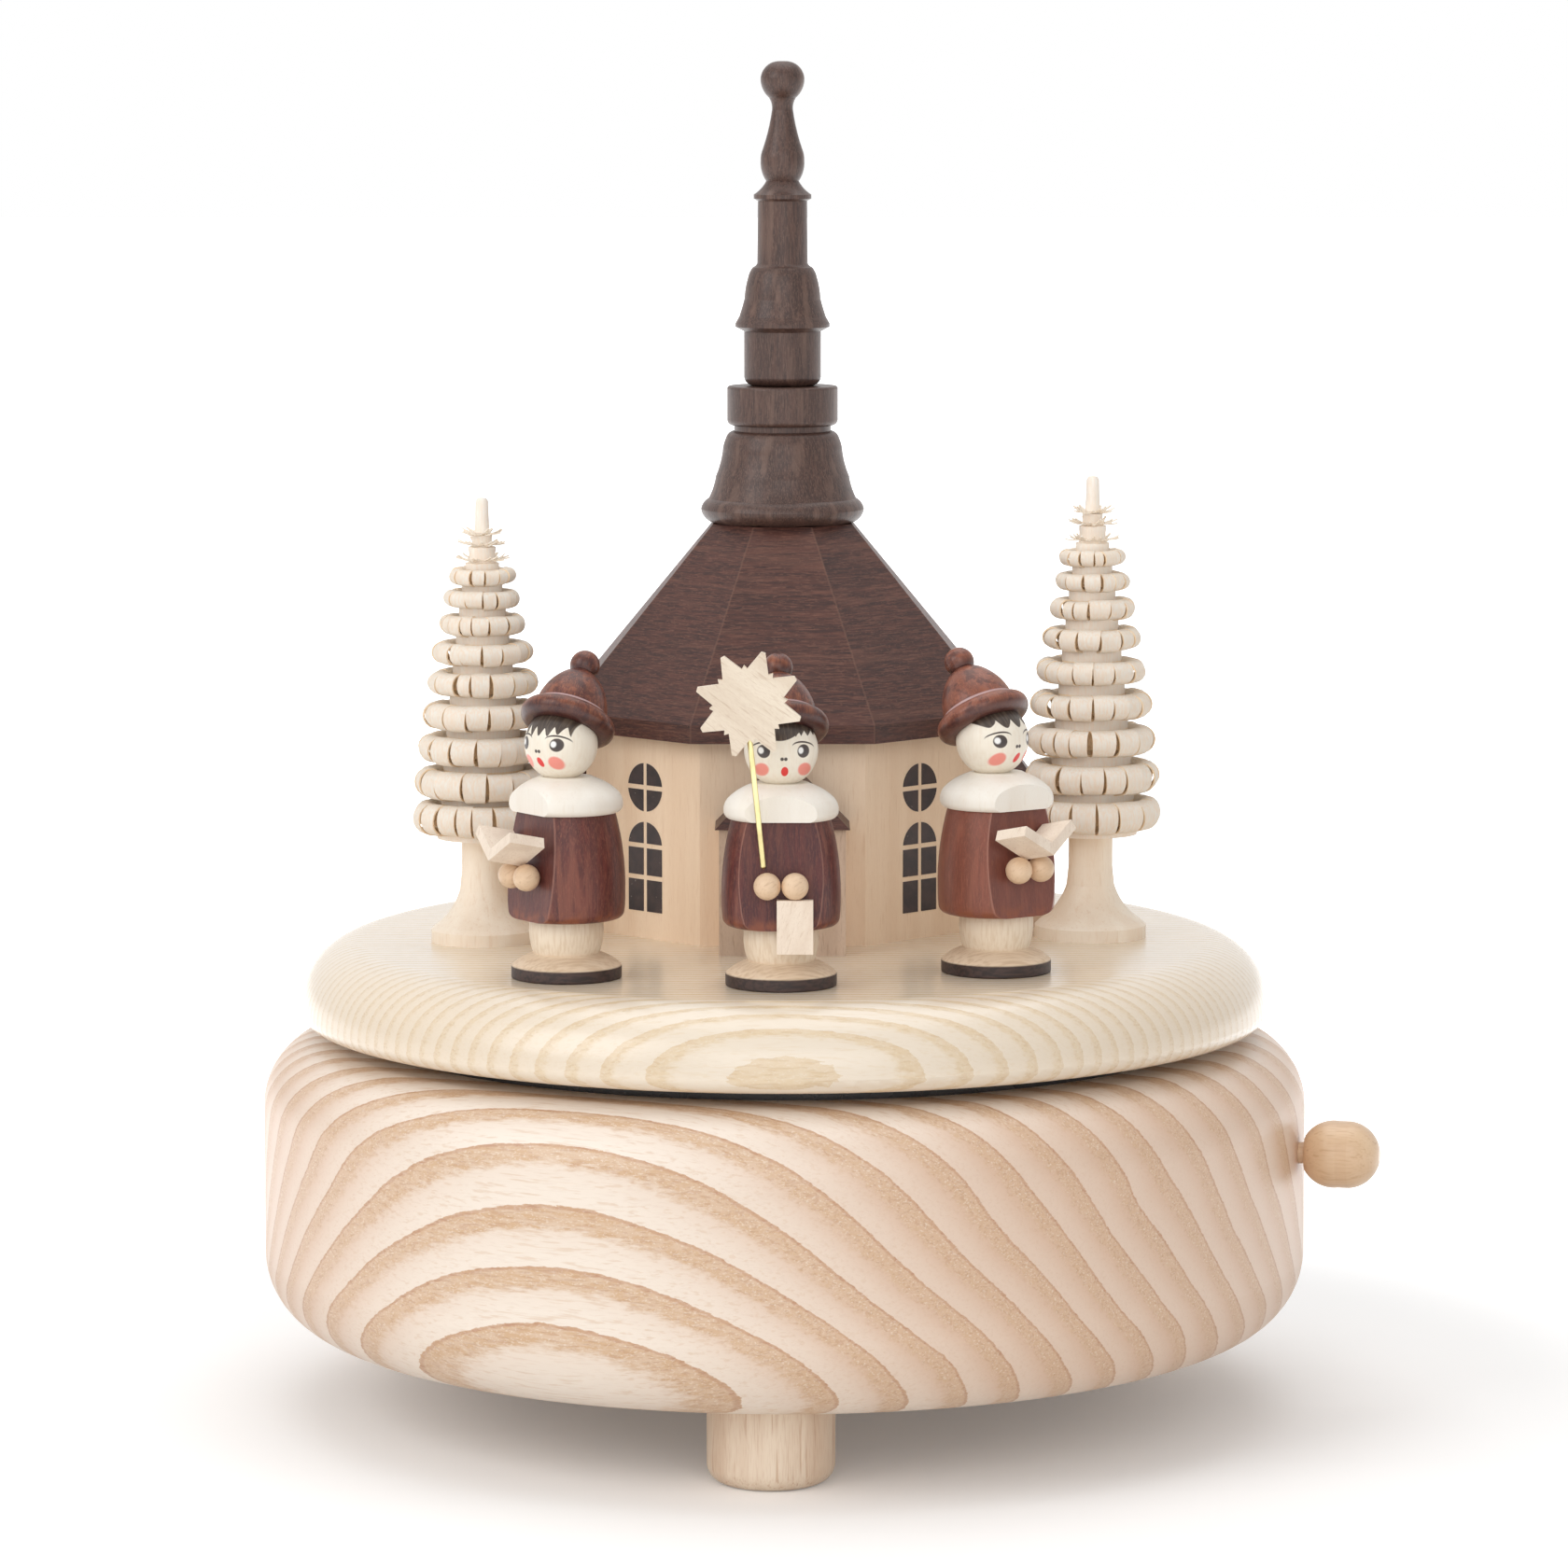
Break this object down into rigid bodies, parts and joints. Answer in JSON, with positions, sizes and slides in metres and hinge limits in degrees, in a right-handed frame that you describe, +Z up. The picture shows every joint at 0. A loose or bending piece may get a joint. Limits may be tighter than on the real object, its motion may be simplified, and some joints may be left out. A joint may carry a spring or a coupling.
{
  "type": "wooden music box",
  "caption": "Round turned wooden music box: a turntable carrying a small church, carol singers and shaved trees turns on a key-wound movement in the base, started by a side knob.",
  "frame": {"origin": "on the turntable's axis, in the plane that the three feet stand on", "axes": "+Z up along the turntable's axis; -Y towards the viewer, where the singers stand at rest; +X to the right, where the stop knob is"},
  "size_m": [0.1393, 0.131, 0.1684],
  "materials": {
    "ash_wood": "satin lacquered ash with open grain",
    "ash_feet": "lacquered ash dowel",
    "bead_wood": "lacquered turned bead",
    "turntable_wood": "satin lacquered softwood",
    "plywood": "unfinished birch plywood",
    "wall_wood": "matt natural wood",
    "roof_stain": "dark brown stained wood",
    "spire_stain": "grey brown stained wood",
    "shaved_wood": "thin curled shavings of pale wood",
    "leg_wood": "natural turned wood",
    "coat_stain": "red brown stained wood",
    "hat_stain": "brown stained wood",
    "white_stain": "white stained wood",
    "white_wood": "pale wooden slips",
    "star_wood": "thin pale wood",
    "face_paint": "pale wood with painted features",
    "brass_wire": "drawn brass wire",
    "brass": "turned and stamped brass",
    "key_brass": "cast brass wing key",
    "plated_steel": "zinc plated steel",
    "spring_steel": "hardened and polished spring steel",
    "cast_zinc": "die cast zinc, bare",
    "black_plastic": "black moulded plastic"
  },
  "bodies": {
    "root": {"body_shell": "ash_wood", "feet": "ash_feet", "bottom_plate": "plywood", "bottom_plate_screws": "plated_steel", "bedplate": "cast_zinc", "movement_screws": "plated_steel", "barrel_bridge": "cast_zinc", "comb": "spring_steel", "governor_frame": "brass", "spindle_bush": "brass", "slide_ring": "black_plastic", "ratchet_pawl": "spring_steel"},
    "turntable": {"turntable": "turntable_wood", "turntable_hub": "brass", "hub_screws": "plated_steel", "spindle": "plated_steel", "spring_barrel": "brass", "crown_wheel": "brass", "mainspring": "spring_steel", "church_walls": "wall_wood", "church_roof": "roof_stain", "porch_walls": "wall_wood", "porch_roofs": "roof_stain", "spire_bell": "spire_stain", "spire_disc": "spire_stain", "spire_pinnacle": "spire_stain", "left_tree_foot": "shaved_wood", "left_tree_crown": "shaved_wood", "right_tree_foot": "shaved_wood", "right_tree_crown": "shaved_wood", "left_singer_legs": "leg_wood", "left_singer_coat": "coat_stain", "left_singer_head": "face_paint", "left_singer_hat": "hat_stain", "left_singer_book": "white_wood", "centre_singer_legs": "leg_wood", "centre_singer_coat": "coat_stain", "centre_singer_head": "face_paint", "centre_singer_hat": "hat_stain", "centre_singer_book": "white_wood", "right_singer_legs": "leg_wood", "right_singer_coat": "coat_stain", "right_singer_head": "face_paint", "right_singer_hat": "hat_stain", "right_singer_book": "white_wood", "singer_collars": "white_stain", "singer_hands": "bead_wood", "star_wire": "brass_wire", "star": "star_wood"},
    "cylinder": {"note_cylinder": "brass", "cylinder_gears": "brass"},
    "governor_wheel": {"governor_wheel": "brass"},
    "fan": {"governor_worm": "plated_steel", "governor_fan": "black_plastic"},
    "winding": {"winding_arbor": "plated_steel", "ratchet_wheel": "plated_steel", "winding_key": "key_brass"},
    "stop": {"stop_rod": "bead_wood", "stop_knob": "bead_wood", "stop_wire": "plated_steel"}
  },
  "joints": [
    {"name": "turntable_turn", "type": "hinge", "parent": "root", "child": "turntable", "pos_m": [0, 0, 0], "axis": [0, 0, 1], "continuous": true},
    {"name": "cylinder_turn", "type": "hinge", "parent": "root", "child": "cylinder", "pos_m": [0, 0, 0.03302], "axis": [0.9886, 0.1504, 0], "continuous": true},
    {"name": "governor_wheel_turn", "type": "hinge", "parent": "root", "child": "governor_wheel", "pos_m": [0.00094, -0.00616, 0.02942], "axis": [0.9886, 0.1504, 0], "continuous": true},
    {"name": "governor_fan_turn", "type": "hinge", "parent": "root", "child": "fan", "pos_m": [0.02862, -0.00661, 0.02942], "axis": [0, 0, 1], "continuous": true},
    {"name": "winding_turn", "type": "hinge", "parent": "root", "child": "winding", "pos_m": [0, 0, 0], "axis": [0, 0, 1], "range_deg": [0, 2340]},
    {"name": "stop_slide", "type": "slide", "parent": "root", "child": "stop", "axis": [0.9744, -0.225, 0], "range_m": [0, 0.004]}
  ],
  "couplings": [
    {"joint": "cylinder_turn", "follows": "turntable_turn", "ratio": 2},
    {"joint": "governor_wheel_turn", "follows": "turntable_turn", "ratio": -10},
    {"joint": "governor_fan_turn", "follows": "turntable_turn", "ratio": -180}
  ]
}
